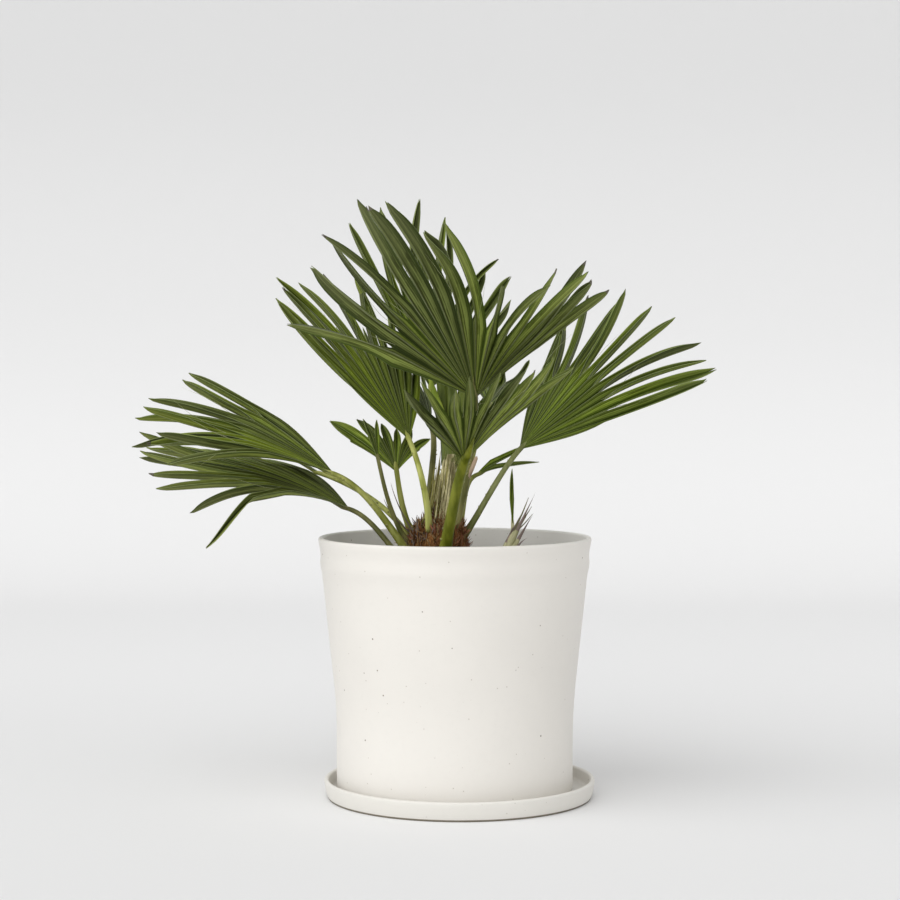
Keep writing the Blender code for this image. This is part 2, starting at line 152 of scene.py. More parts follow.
LEAVES = (
    leaf("upper_front", (0.022, -0.060, 0.439), (-0.195, -0.060, 0.064), (0.146, -0.030, 0.108), 0.246,
         count=15, cup=-6, warp=28, seat=(-30, 0.295), stalk="dull", tone="grey"),
    leaf("front", (0.010, -0.085, 0.372), (-0.076, -0.115, 0.062), (0.120, -0.060, 0.100), 0.165,
         cup=-12, seat=(-76, 0.268), foot=0.0075, neck=0.0055, split=0.55,
         stalk="bright", tone="grey"),
    leaf("right", (0.071, 0.000, 0.382), (0.206, -0.076, 0.062), (0.046, 0.150, 0.138), 0.230,
         cup=7, bow=0.001, seat=(-2, 0.288), stalk="green"),
    leaf("upper_left", (-0.050, 0.000, 0.393), (0.020, 0.165, 0.132), (-0.158, -0.030, 0.139), 0.232,
         count=11, bow=0.001, seat=(-115, 0.295), stalk="lime", tone="warm"),
    leaf("upper_back", (-0.027, 0.045, 0.449), (0.105, 0.135, 0.076), (-0.102, -0.025, 0.171), 0.224,
         count=10, seat=(60, 0.362), foot=0.004, stalk="lime", tone="grey"),
    leaf("left", (-0.131, -0.020, 0.355), (-0.160, 0.100, 0.108), (-0.148, -0.125, 0.018), 0.224,
         cup=-6, bow=0.014, seat=(-150, 0.274), foot=0.006, tone="warm"),
    # the low left leaf takes the pale green: partly painted light, as it lies in the left leaf's shade
    leaf("low_left", (-0.116, 0.020, 0.314), (-0.115, 0.150, 0.040), (-0.135, -0.145, 0.004), 0.245,
         count=10, cup=2, bow=0.020, seat=(178, 0.264), droop=0.038, stalk="dull", tone="pale"),
    leaf("inner_left", (-0.148, 0.046, 0.352), (-0.060, 0.080, 0.014), (-0.090, 0.026, 0.026), 0.098,
         count=5, seat=(150, 0.282), stalk="lime"),
    leaf("small_left", (-0.064, 0.000, 0.357), (0.044, 0.030, 0.030), (-0.091, -0.010, 0.048), 0.052,
         count=6, split=0.56, seat=(178, 0.292), neck=0.0028, foot=0.004, tone="grey"),
    leaf("bud_left", (-0.083, -0.022, 0.368), (0.002, 0.014, 0.038), (-0.022, -0.004, 0.042), 0.046,
         count=2, seat=(-168, 0.282), neck=0.0022, foot=0.0035, stalk="dull"),
    leaf("low_right", (0.022, 0.050, 0.350), (0.066, 0.000, 0.005), (0.056, 0.050, 0.036), 0.080,
         count=2, seat=(50, 0.285), neck=0.0028, foot=0.004, split=0.32),
    leaf("back_right", (0.038, 0.040, 0.430), (0.125, 0.100, -0.010), (-0.050, 0.190, 0.060), 0.215,
         count=10, seat=(25, 0.295)),
    leaf("back_left", (-0.026, 0.060, 0.405), (-0.010, 0.180, 0.060), (-0.129, 0.140, 0.110), 0.215,
         seat=(118, 0.295), stalk="dull"),
    leaf("back", (0.003, 0.085, 0.390), (0.110, 0.160, 0.050), (-0.020, 0.200, 0.060), 0.215,
         seat=(100, 0.284)),
    leaf("offshoot", (0.062, -0.012, 0.287), (0.024, -0.008, 0.020), (0.018, 0.004, 0.046), 0.042,
         count=3, bow=0.0, seat=(0.053, -0.012, SOIL_TOP), neck=0.0024, foot=0.0036,
         split=0.2, stalk="young", tone="dry"),
    leaf("offshoot_spear", (0.064, -0.003, 0.293), (0.002, 0.003, 0.068), (-0.008, 0.000, 0.068), 0.070,
         count=1, bow=0.0, seat=(0.051, -0.002, SOIL_TOP), neck=0.0022, foot=0.0032,
         split=0.5, stalk="young"),
)

# How fine a blade is made
FINE_WIDTH = 0.0150      # a big blade gets more segments than the part's own, about this wide
FINE_REACH = 0.2         # and a blade with a shorter reach than this keeps their number
MARGIN = 2.4             # the outer half segment spreads this much further near the hub
WARPED_EDGE = 0.5        # the outer strap is narrower where the fan turns sharply at its edge
BLADE_THICK = 0.0006
HUB_START = 0.0022       # the pleats run in to this radius, under the end of the stalk
ACROSS = (0.0, 0.075, 0.36, 0.70, 0.94, 1.0)   # columns of half a segment, from its rib to its edge
JOINED_ROWS = 9
HUB_ROWS = 2             # the rows next to the stalk, where the rib takes its colour
FREE_ROWS = 22
BULGE = 0.035            # how far half a segment arches, as a share of the segment's width
FORK_START = (0.92, 0.98)      # where a segment's tip splits in two
FORK_GAP = (0.4, 1.0)
FORK_WIDTH = 0.22        # how far each point leaves the rib, as a share of half the width
SWAY = 0.070             # sideways drift of a tip, as a share of the segment's length
CURL = 0.060             # curl of a tip to either face, in the same way
SAG = 0.012              # most sag of a tip
TIP_RISE = 0.8           # how high a tip stands over the part's, as a share of the blade's bow
TWIST = 75               # most twist of a tip, in degrees
CLOSING = (0, 34)        # how far a free segment folds up round its rib, in degrees
SHORTER = 0.93           # the shortest segments, as a share of their full length
DRY_FROM = (0.965, 1.12)       # where a segment's dry end starts, if it has one
EARLY = 3.5              # a free segment takes its own width within 1 / 3.5 of its length
DROOP_START = 0.42       # a hanging segment turns down here, like a broken one,
DROOP_BEND = 1.25
HANG = 1.3               # and hangs this much lower than the part's own
CREASE = radians(24)     # sharper folds than this stay sharp when shaded
RIB_SHARE = 0.07         # the rib's pale line, as a share of half a segment
PLEAT_DEEPENS = 1.5
TIP_MATCH = 0.002        # how close a segment's tip lies to the part's own
MERGE = 0.000005         # seams closer than this are joined,
LEAST_AREA = 1e-13       # and smaller faces than this are taken out

# Stalks, fibres and small growth
SPINE_CHANCE = 0.2
SPINES = (0.2, 0.85)     # the stretch of a stalk that has spines
SPINY_NECK = 0.003       # a thinner stalk has none
SPINE_LENGTH = (0.5, 0.9)      # as a share of the stalk's radius
SPINE_WIDTH = 0.24
SPINE_SEAT = 0.86
CLASP = 0.6              # how much broader a stalk's foot is, as a share of its width,
CLASP_REACH = 0.10       # over this share of the stalk
STALK_TOP = 0.62         # a stalk's height over and under its middle, as a share of its width
STALK_BELLY = 0.95
STALK_UNEVEN = 0.05
STALK_SUNK = 0.007
STALK_TAIL = ((1.5, 0.85), (2.6, 0.62), (4.0, 0.36), (5.5, 0.15))   # its tail under the blade, in
                         # hub radii, and the tail's width there, as a share of its neck
HAIRS = 2600
LOOSE_HAIRS = 0.16       # the share of fibres that stand off, and the others cling
HAIR_ROOT = 0.0012       # how deep in the trunk a fibre starts
HAIR_LENGTH = (0.006, 0.018)
HAIR_RADIUS = (0.0003, 0.0010)
LOOSE_RADIUS = (0.00016, 0.0003)
CLIMB_LENGTH = 0.6       # every third fibre climbs up the sheath with this share of its length,
CLIMB_SIDE = -120        # mostly on the side with this heading, spread by so many degrees
CLIMB_SPREAD = 38
CLIMB_TOP = 0.068
SHEATH_STRIPS = 60
SHEATH_ENDS = (-0.030, 0.004)  # how far a strip ends over the trunk's top, at least and at most
SHEATH_STRAY = 0.010     # how far outer, greener strips stand off on the left
SHEATH_STEPS = 8
SHEATH_FRAY = 0.0025     # how far the strips' ends stand off
BRISTLE = (0.0007, 0.0016)     # radii of a strip or a coarse fibre
THREADED = 9             # a blade with fewer segments has no loose threads
THREADS = 5
THREAD = 0.00025
THREAD_LENGTH = (0.03, 0.11)
SPIKE_STEPS = 16
SPIKE_FLAT = 0.6
FRESH_FROM = 0.4         # the young leaf's first spike is fresh green from this share of it,
DRY_HALF = 0.5           # and the offshoot's spikes are dry from this one

# Dead shoots: foot, bow, tip and radius
DEAD_SHOOTS = (
    ((-0.040, -0.012, 0.285), (-0.062, -0.020, 0.315), (-0.0701, -0.022, 0.3472), 0.0010),
    ((-0.042, -0.008, 0.285), (-0.072, -0.014, 0.310), (-0.078, -0.014, 0.3297), 0.0009),
    ((-0.038, -0.020, 0.282), (-0.041, -0.026, 0.300), (-0.0415, -0.027, 0.3119), 0.0010),
)
CUT_STUB = ((0.0130, -0.0195, 0.350), (0.0185, -0.0245, 0.361), (0.0240, -0.0290, 0.3757), 0.0028)
YOUNG_LEAF = (
    ((-0.004, -0.002, 0.368), (-0.010, -0.002, 0.410), (-0.030, 0.010, 0.466), 0.0080),
    ((-0.002, 0.006, 0.365), (-0.006, 0.012, 0.410), (-0.020, 0.022, 0.484), 0.0130),
    ((0.001, 0.004, 0.365), (-0.001, 0.008, 0.410), (-0.006, 0.014, 0.484), 0.0120),
    ((0.001, 0.006, 0.365), (0.006, 0.010, 0.410), (0.011, 0.016, 0.478), 0.0110),
)
OFFSHOOT_SPIKES = (
    ((0.048, -0.012, 0.2510), (0.068, -0.014, 0.294), (0.0885, -0.018, 0.3362), 0.0062),
    ((0.051, -0.016, 0.2510), (0.070, -0.016, 0.286), (0.0865, -0.020, 0.3138), 0.0056),
    ((0.053, -0.019, 0.2510), (0.067, -0.021, 0.280), (0.0793, -0.026, 0.2868), 0.0046),
    ((0.047, -0.006, 0.2510), (0.065, -0.009, 0.296), (0.0727, -0.011, 0.3120), 0.0060),
    ((0.046, -0.013, 0.2510), (0.058, -0.012, 0.284), (0.0650, -0.008, 0.3000), 0.0064),
)

# Colours of a leaf's skin from its plain green: times and plus, for each channel. They hold painted
# light and shade as well as the leaf's own colour
# the pale streaks: partly the leaf's own, partly a painted highlight
LEAF_PALE_HIGHLIGHT = ((1.4, 1.4, 1.3), (0.062, 0.070, 0.035))
# the grey towards the tips: partly paler tips, partly a painted sheen
LEAF_GREY_SHEEN = ((1.3, 1.2, 1.1), (0.10, 0.105, 0.08))
# painted shade: how dark a leaf's green turns at the bottom of a pleat's valley
LEAF_VALLEY_SHADE = (0.26, 0.36, 0.20)
LEAF_EDGE = (0.26, 0.30, 0.14)
# each green in a shaded, a plain and a lit copy: painted shade and light for the two sides of a fold
LEAF_LIT_AND_SHADED = {"deep": 0.55, "plain": 0.95, "light": 1.45}
LEAF_TONES = (           # upper face and underside
    ("mid", (0.088, 0.124, 0.003), (0.100, 0.132, 0.008)),
    ("warm", (0.103, 0.138, 0.003), (0.114, 0.144, 0.010)),
    ("grey", (0.112, 0.151, 0.012), (0.130, 0.162, 0.026)),
    # the pale green, for the low left leaf under the left one: partly its own paler colour and partly
    # painted light against the shade it lies in
    ("pale", (0.132, 0.168, 0.014), (0.150, 0.182, 0.030)),
)
# the copies that the two halves of a segment take, drawn at random: mostly painted light on one side of
# a fold and painted shade on the other
LIT_SHADED_PAIRS = ((0, 1), (1, 0), (1, 2), (2, 1), (0, 2), (1, 1), (2, 0))
RIB, HUB, DRY, FACE = 3, 4, 5, 6      # a blade's finishes after its tints, and their number on a face
SPECKS = (               # spacing, radius, colour and strength of the glaze's iron specks
    (0.0230, 0.00120, (0.17, 0.125, 0.085), 0.90),
    (0.0130, 0.00090, (0.30, 0.24, 0.18), 0.45),
    (0.0060, 0.00036, (0.45, 0.37, 0.30), 0.30),
)
# bare clay at the saucer's foot, darkened: partly its own colour, partly painted contact shadow
BARE_CLAY_AND_SHADE = ((0.13, 0.115, 0.085), (0.22, 0.19, 0.14))
SPECK_SOFT = 0.55
STAIN = (0.115, 0.062, 0.028)

# The room
PAPER_AND_SHADE = (0.83, 0.775, 0.70)    # the paper's grey in front, and painted darker at the back and high up as painted shade
STAGE_WIDTH = 9.0
STAGE_FRONT = 3.2
STAGE_FLAT = 5.2
STAGE_BEND = 1.2
STAGE_RUN = 9.5
STAGE_DROP = 0.0002
LAMPS = (                # where from, strength and softness in degrees
    ("key", (-0.50, -0.60, 0.62), 1.88, 80),
    ("fill", (0.75, -0.60, 0.30), 0.30, 50),
)
ROOM_LIGHT = 0.55

# The camera, fitted to the usual view of the plant
CAMERA_LENS = 85.25
CAMERA_PLACE = (-0.0053, -2.34, 0.456)
CAMERA_PITCH = 88.17


class Signal:
    """A number or colour that varies over a surface. Sums and products of it add Math nodes."""

    def __init__(self, finish, socket):
        self.finish = finish
        self.socket = socket

    def maths(self, operation, *values):
        return self.finish.node("Math", dict(enumerate(values)), operation=operation)

    def __add__(self, other):
        return self.maths("ADD", self, other)

    __radd__ = __add__

    def __mul__(self, other):
        return self.maths("MULTIPLY", self, other)

    __rmul__ = __mul__

    def sine(self):
        return self.maths("SINE", self)

    def rise(self, low, high):
        """0 under low, 1 over high, and smooth between; with high under low it falls."""
        return self.finish.node("MapRange", {"Value": self, "From Min": low, "From Max": high},
                                interpolation_type="SMOOTHSTEP")


class Finish:
    """A material in the making, round its Principled shader."""

    def __init__(self, name, shine):
        self.material = bpy.data.materials.new(name)
        self.material.use_nodes = True
        self.tree = self.material.node_tree
        self.shader = self.tree.nodes["Principled BSDF"]
        self.shader.inputs["Specular IOR Level"].default_value = shine

    def feed(self, socket, value):
        if isinstance(value, Signal):
            self.tree.links.new(value.socket, socket)
        else:
            color = isinstance(value, tuple) and len(socket.default_value) == 4
            socket.default_value = (*value, 1.0) if color else value

    def node(self, kind, sockets=None, out=0, **settings):
        """A node by its type, its settings, the values or links of its sockets, and its output."""
        made = self.tree.nodes.new("ShaderNode" + kind)
        for setting, value in settings.items():
            setattr(made, setting, value)
        for socket, value in (sockets or {}).items():
            self.feed(made.inputs[socket], value)
        return Signal(self, made.outputs[out])

    def spot(self, scale=(1, 1, 1)):
        """Object coordinates, stretched."""
        place = self.node("TexCoord", out="Object")
        return self.node("Mapping", {"Vector": place, "Scale": scale})

    def axis(self, name):
        """Object coordinates along one axis."""
        return self.node("SeparateXYZ", {"Vector": self.spot()}, out=name)

    def chart(self, axis):
        """The piece's own UV map: X runs across a strip and Y along it."""
        place = self.node("TexCoord", out="UV")
        return self.node("SeparateXYZ", {"Vector": place}, out=axis)

    def grain(self, scale, detail=3.0, stretch=(1, 1, 1), roughness=0.55):
        """Cloudy noise from 0 to 1."""
        return self.node("TexNoise", {"Vector": self.spot(stretch), "Scale": scale, "Detail": detail,
                                      "Roughness": roughness})

    def mix(self, share, low, high):
        """Between two colours, which are a Mix node's sockets 6 and 7, and its output 2."""
        return self.node("Mix", {0: share, 6: low, 7: high}, out=2, data_type="RGBA")

    def done(self, color, rough, height=None, strength=0.0, distance=0.0):
        """Feeds the shader and gives the material. height: a relief over its surface."""
        self.feed(self.shader.inputs["Base Color"], color)
        self.feed(self.shader.inputs["Roughness"], rough)
        if height:
            relief = {"Height": height, "Strength": strength, "Distance": distance}
            self.feed(self.shader.inputs["Normal"], self.node("Bump", relief))
        return self.material


def shade(color, times, plus=(0.0, 0.0, 0.0)):
    """A colour times a number, or times one for each channel, plus another colour."""
    times = times if isinstance(times, tuple) else (times,) * 3
    return tuple(channel * much + more for channel, much, more in zip(color, times, plus))


def leaf_finish(name, color, valley, gloss):
    """Leaf skin: streaked green with fine veins along the segment. The streaks are partly the leaf's
    own
    and partly painted light and shade: painted shade on the dark ones, a painted highlight on the pale
    ones, and a grey towards the tip that is partly paler tips and partly a painted sheen. The green
    also darkens into each fold's valley as painted shade. valley: 1 where the rib lies at the bottom of
    a fold of this face, and 0 where the segment's edge does."""
    made = Finish(name, 0.10)
    across, along = made.chart("X"), made.chart("Y")
    cloud = made.grain(26, detail=4)
    place = made.node("CombineXYZ", {"X": across * 5, "Y": along, "Z": cloud * 1.3})
    streak = made.node("TexNoise", {"Vector": place, "Scale": 1.6, "Detail": 3.0})
    # streaks along the segment: partly the leaf's own, partly painted shade on the dark side and a
    # painted highlight on the pale side
    skin = made.mix(streak.rise(0.38, 0.68), shade(color, 0.48), shade(color, *LEAF_PALE_HIGHLIGHT))
    # greyer towards the tip, most on the pale streaks: partly paler tips, partly a painted sheen
    skin = made.mix(along.rise(0.4, 1.1) * (0.1 + 0.7 * streak), skin, shade(color, *LEAF_GREY_SHEEN))
    skin = made.mix(across.rise(0.93, 0.98) * 0.6, skin, LEAF_EDGE)
    # painted shade in the fold's valley: at the rib on the upper face, at the edges on the underside
    depth = across.rise(0.55, 0.0) if valley else across.rise(0.45, 1.0)
    skin = made.mix(depth * 0.85, skin, shade(color, LEAF_VALLEY_SHADE))
    vein = (across * (2 * pi * 4)).sine()
    return made.done(skin, gloss + 0.14 * streak, vein * 0.5 + streak * 0.8, 0.3, 0.0006)


def rib_finish(name, color):
    made = Finish(name, 0.40)
    skin = made.mix(made.grain(120).rise(0.3, 0.7), shade(color, 0.85), shade(color, 1.15))
    return made.done(skin, 0.42 + 0.1 * made.grain(90))


def dry_finish(name, color):
    """Dead, papery tissue."""
    made = Finish(name, 0.2)
    streak = made.grain(60, stretch=(1, 1, 0.3))
    skin = made.mix(streak.rise(0.35, 0.65), shade(color, 0.65), shade(color, 1.25))
    return made.done(skin, 0.72 + 0.2 * streak, streak, 0.5, 0.0005)


def stalk_finish(name, color, foot_color, pale):
    """Stalk skin: pale streaks along it, and a stained foot."""
    made = Finish(name, 0.30)
    along, round_it = made.chart("Y"), made.chart("X")
    streak = made.grain(90, stretch=(1, 1, 0.12), detail=4)
    cloud = made.grain(30)
    skin = made.mix(streak.rise(0.34, 0.66), shade(color, 0.80), pale)
    skin = made.mix(cloud.rise(0.45, 0.75) * 0.25, skin, shade(color, 0.7))
    foot = made.mix(streak.rise(0.4, 0.6), foot_color, shade(foot_color, 0.5))
    edge = (round_it * (4 * pi)).sine()
    skin = made.mix((along + cloud * 0.08).rise(0.13, 0.03), skin, foot)
    return made.done(skin, 0.36 + 0.22 * cloud, streak * 0.7 + edge * 0.05, 0.35, 0.0006)


def fibre_finish(name, color, light):
    """Shaggy bark of old sheaths."""
    made = Finish(name, 0.15)
    streak = made.grain(150, stretch=(1, 1, 0.22), detail=5, roughness=0.7)
    cloud = made.grain(35)
    skin = made.mix(streak.rise(0.38, 0.66), shade(color, 0.35), made.mix(cloud, color, light))
    return made.done(skin, 0.85 + 0.1 * cloud, streak, 0.9, 0.0012)


def glaze_finish(name, color, bare=None):
    """Matt off-white stoneware glaze with iron specks. bare: bare clay under this height, dark partly
    from the clay's own colour and partly from painted contact shadow.
    """
    made = Finish(name, 0.45)
    cloud = made.grain(9, detail=3)
    mottle = made.grain(130, detail=2)
    tint = made.mix(cloud.rise(0.3, 0.7), shade(color, 0.985), shade(color, 1.01))
    tint = made.mix(mottle.rise(0.45, 0.8) * 0.18, tint, shade(color, 0.93))
    for cell, radius, dark, strength in SPECKS:
        away = made.node("TexVoronoi", {"Vector": made.spot(), "Scale": 1 / cell}, out="Distance")
        speck = away.rise(radius / cell, SPECK_SOFT * radius / cell)
        tint = made.mix(speck * strength, tint, dark)
    if bare:
        edge = made.axis("Z") + 0.0006 * cloud
        tint = made.mix(edge.rise(bare * 1.15, bare * 0.85), tint, made.mix(mottle, *BARE_CLAY_AND_SHADE))
    return made.done(tint, 0.44 + 0.14 * cloud, cloud * 0.6 + mottle * 0.06, 0.25, 0.0016)


def soil_finish(name, color):
    made = Finish(name, 0.2)
    grain = made.grain(260, detail=5, roughness=0.75)
    skin = made.mix(grain.rise(0.35, 0.7), shade(color, 0.45), shade(color, 1.6))
    return made.done(skin, 0.9, grain, 1.0, 0.0015)


def make_finishes():
    """Every finish by its name."""
    kinds = (
        (rib_finish,
         ("rib", (0.17, 0.21, 0.055)),
         ("under_rib", (0.135, 0.155, 0.06)),
         ("hub_green", (0.19, 0.23, 0.05))),
        (stalk_finish,
         ("stalk_green", (0.135, 0.155, 0.035), (0.16, 0.13, 0.03), (0.23, 0.25, 0.09)),
         ("stalk_lime", (0.34, 0.37, 0.06), (0.25, 0.21, 0.04), (0.50, 0.52, 0.15)),
         ("stalk_olive", (0.22, 0.24, 0.032), (0.22, 0.145, 0.02), (0.36, 0.37, 0.10)),
         ("stalk_dull", (0.135, 0.14, 0.035), STAIN, (0.24, 0.23, 0.08)),
         ("stalk_bright", (0.13, 0.155, 0.006), (0.18, 0.165, 0.02), (0.23, 0.25, 0.025)),
         ("stalk_young", (0.30, 0.31, 0.13), (0.32, 0.28, 0.16), (0.55, 0.52, 0.31)),
         ("tender_leaf", (0.075, 0.105, 0.010), (0.20, 0.22, 0.05), (0.15, 0.19, 0.03)),
         ("fresh_leaf", (0.22, 0.30, 0.02), (0.34, 0.33, 0.10), (0.34, 0.42, 0.05))),
        (fibre_finish,
         ("fibre", (0.27, 0.105, 0.030), (0.42, 0.22, 0.075)),
         ("fibre_light", (0.40, 0.24, 0.10), (0.58, 0.42, 0.22)),
         ("sheath", (0.70, 0.62, 0.30), (0.92, 0.87, 0.56)),
         ("sheath_green", (0.36, 0.34, 0.08), (0.52, 0.48, 0.18))),
        (dry_finish,
         ("dry_tip", (0.125, 0.115, 0.08)),
         ("dry_leaf", (0.17, 0.16, 0.085)),
         ("boot", (0.30, 0.13, 0.075)),
         ("dead_tip", (0.20, 0.155, 0.135)),
         ("cut_stub", (0.40, 0.30, 0.21)),
         ("spine", (0.30, 0.30, 0.11)),
         ("thread", (0.36, 0.38, 0.20))),
        (glaze_finish,
         ("glaze", (0.80, 0.773, 0.724)),
         # the pot's inner wall: the same glaze made lighter, as painted light against the shade inside
         # the pot
         ("inner_glaze", (0.90, 0.88, 0.84)),
         # the saucer: the pot's glaze made darker, as painted shade
         ("saucer_glaze", (0.745, 0.725, 0.677), UNGLAZED)),
        (soil_finish,
         ("soil", (0.045, 0.030, 0.020)),
         ("bark_crumbs", (0.11, 0.065, 0.035))))
    made = {name: kind(name, *values) for kind, *rows in kinds for name, *values in rows}
    for tone, *colors in LEAF_TONES:
        for face, color, gloss in zip(("upper", "under"), colors, (0.38, 0.5)):
            # a shaded, a plain and a lit copy of each green, as painted shade and light
            for tint, times in LEAF_LIT_AND_SHADED.items():
                name = f"{tone}_{face}_{tint}"
                made[name] = leaf_finish(name, shade(color, times), face == "upper", gloss)
    return made


def blade_finishes(tone):
    """The names of a blade's finishes: those of its upper face and then those of its underside."""
    if tone == "dry":
        return ["dry_leaf"] * 2 * FACE
    upper, under = [[f"{tone}_{face}_{tint}" for tint in LEAF_LIT_AND_SHADED] for face in ("upper", "under")]
    return [*upper, "rib", "hub_green", "dry_tip", *under, "under_rib", "hub_green", "dry_tip"]


def sheet(cage, across, rows, place, paint=None):
    """A grid bent by place(a, b): a goes through the values of across, b from 0 to 1 in rows.
    paint(a, b) gives the number of a face's material. The grid's UV map is (a, b)."""
    columns = len(across) - 1
    chart = cage.loops.layers.uv.verify()
    points = bmesh.ops.create_grid(cage, x_segments=columns, y_segments=rows, size=0.5)["verts"]

    def spot(point):
        return across[round((point.co.x + 0.5) * columns)], point.co.y + 0.5

    for face in {face for point in points for face in point.link_faces}:
        corners = [spot(loop.vert) for loop in face.loops]
        for loop, corner in zip(face.loops, corners):
            loop[chart].uv = corner
        if paint:
            middle = [sum(values) / len(corners) for values in zip(*corners)]
            face.material_index = paint(*middle)
        face.smooth = True
    for point in points:
        point.co = place(*spot(point))
    return points


def ring(sides):
    """Shares of a full turn, for a sheet that is rolled into a tube."""
    return [i / sides for i in range(sides + 1)]


def close(cage):
    """Seams and poles are merged, and faces are smooth and point outwards."""
    bmesh.ops.remove_doubles(cage, verts=cage.verts, dist=MERGE)
    flat = [face for face in cage.faces if face.calc_area() < LEAST_AREA]
    bmesh.ops.delete(cage, geom=flat, context="FACES_ONLY")
    bmesh.ops.recalc_face_normals(cage, faces=cage.faces)
    for face in cage.faces:
        face.smooth = True


def show(name, data):
    """An object in the scene, at the origin."""
    made = bpy.data.objects.new(name, data)
    bpy.context.scene.collection.objects.link(made)
    return made


def show_cage(cage, name, finishes):
    mesh = bpy.data.meshes.new(name)
    cage.to_mesh(mesh)
    cage.free()
    for finish in finishes:
        mesh.materials.append(finish)
    return show(name, mesh)


def piece(cage, name, skins, slot, *nodes, crease=None):
    """A piece from its cage, with the finishes named in skins. It stands for the named nodes of the
    part."""
    made = show_cage(cage, name, [finishes[skin] for skin in skins])
    if crease:
        made.data.set_sharp_from_angle(angle=crease)
    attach(made, "root")
    if nodes:
        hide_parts(*nodes)
    return made


def tree_of(node):
    """The search tree of a node of the part."""
    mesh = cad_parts[node].data
    faces = [tuple(face.vertices) for face in mesh.polygons]
    return BVHTree.FromPolygons([point.co.copy() for point in mesh.vertices], faces)


def arc(center, radius, start, end, steps):
    """Points of an arc in the profile's plane, by angles in degrees."""
    turns = [radians(start + (end - start) * i / steps) for i in range(steps + 1)]
    return [(center[0] + radius * cos(turn), center[1] + radius * sin(turn)) for turn in turns]


def turned(profile, wobble, center=0.0):
    """A profile turned about an upright axis, with the slight unevenness of hand-thrown clay."""
    cage = bmesh.new()
    points = [cage.verts.new((radius, 0, height)) for radius, height in profile]
    edges = [cage.edges.new(pair) for pair in zip(points, points[1:])]
    bmesh.ops.spin(cage, geom=points + edges, cent=(0, 0, 0), axis=(0, 0, 1), angle=2 * pi,
                   steps=TURN_STEPS, use_merge=True)
    close(cage)
    for point in cage.verts:
        out = Vector((point.co.x, point.co.y, 0))
        if out.length > 0.05:
            swell = noise.noise(Vector((point.co.x * 9, point.co.y * 9, point.co.z * 14)))
            point.co += out.normalized() * swell * wobble
        point.co.x += center
    return cage


def pot_radius(z):
    if z < POT_WAIST_HEIGHT:
        share = max(0.0, (z - POT_FOOT_HEIGHT) / (POT_WAIST_HEIGHT - POT_FOOT_HEIGHT))
        return POT_BASE + (POT_WAIST - POT_BASE) * share * share
    share = (z - POT_WAIST_HEIGHT) / (POT_HEIGHT - POT_WAIST_HEIGHT)
    return POT_WAIST + (POT_RIM - POT_WAIST) * share


def pot_side(z):
    """The pot's outer radius with the faint ridge and hollow from throwing."""
    ridge = exp(-((z - POT_HEIGHT + THROWING_DROP) / THROWING_WIDTH) ** 2)
    hollow = exp(-((z - POT_HEIGHT + HOLLOW_DROP) / HOLLOW_WIDTH) ** 2)
    return pot_radius(z) + THROWING_DEPTH * (ridge - HOLLOW_SHARE * hollow)


def make_pot():
    low, floor = POT_STAND + POT_CORNER, POT_STAND + POT_FLOOR
    lip = POT_WALL / 2
    top = POT_HEIGHT - lip
    heights = [low + (top - low) * i / SIDE_STEPS for i in range(1, SIDE_STEPS)]
    profile = [(0.0, POT_STAND), *arc((POT_BASE - POT_CORNER, low), POT_CORNER, -90, 0, 5),
               *[(pot_side(z), z) for z in heights],
               *arc((POT_RIM - lip, top), lip, 0, 180, 10),
               *[(pot_radius(z) - POT_WALL, z) for z in INSIDE_HEIGHTS],
               (POT_BASE - POT_WALL, floor + POT_CORNER), (POT_BASE - POT_WALL - POT_CORNER, floor),
               (0.0, floor)]
    cage = turned(profile, POT_UNEVEN)
    for face in cage.faces:
        spot = face.calc_center_median()
        # faces of the inner wall take the lighter copy of the glaze: painted light
        if spot.z > floor and face.normal.dot(Vector((spot.x, spot.y, 0))) < 0:
            face.material_index = 1
    piece(cage, "stoneware_pot", ["glaze", "inner_glaze"], "stoneware", "pot", crease=EDGE_CREASE)


def make_saucer():
    lip = SAUCER_WALL / 2
    top, inner = SAUCER_HEIGHT - lip, SAUCER_RADIUS - SAUCER_WALL - SAUCER_CORNER
    side = [(SAUCER_FOOT + (SAUCER_RADIUS - SAUCER_FOOT) * share ** 0.6,
             UNGLAZED + (top - UNGLAZED) * share) for share in (0.0, 0.2, 0.45, 0.7)]
    profile = [(0.0, 0.0), (SAUCER_FOOT - 0.0008, 0.0), *side,
               *arc((SAUCER_RADIUS - lip, top), lip, 0, 180, 8),
               *arc((inner, SAUCER_FLOOR + SAUCER_CORNER), SAUCER_CORNER, 0, -90, 4),
               (0.0, SAUCER_FLOOR)]
    # the saucer takes the darker copy of the glaze: painted shade
    piece(turned(profile, SAUCER_UNEVEN, SAUCER_SHIFT), "stoneware_saucer", ["saucer_glaze"],
          "stoneware", "saucer", crease=EDGE_CREASE)


def soil_height(x, y):
    out = sqrt(x * x + y * y)
    level = SOIL_TOP - (SOIL_TOP - SOIL_EDGE) * max(0.0, out - SOIL_FLAT) / (POT_RIM - SOIL_FLAT)
    bumps = noise.fractal(Vector((x * 70, y * 70, 3.1)), 0.8, 2.1, 4)
    return level - SOIL_SUNK + SOIL_RELIEF * bumps


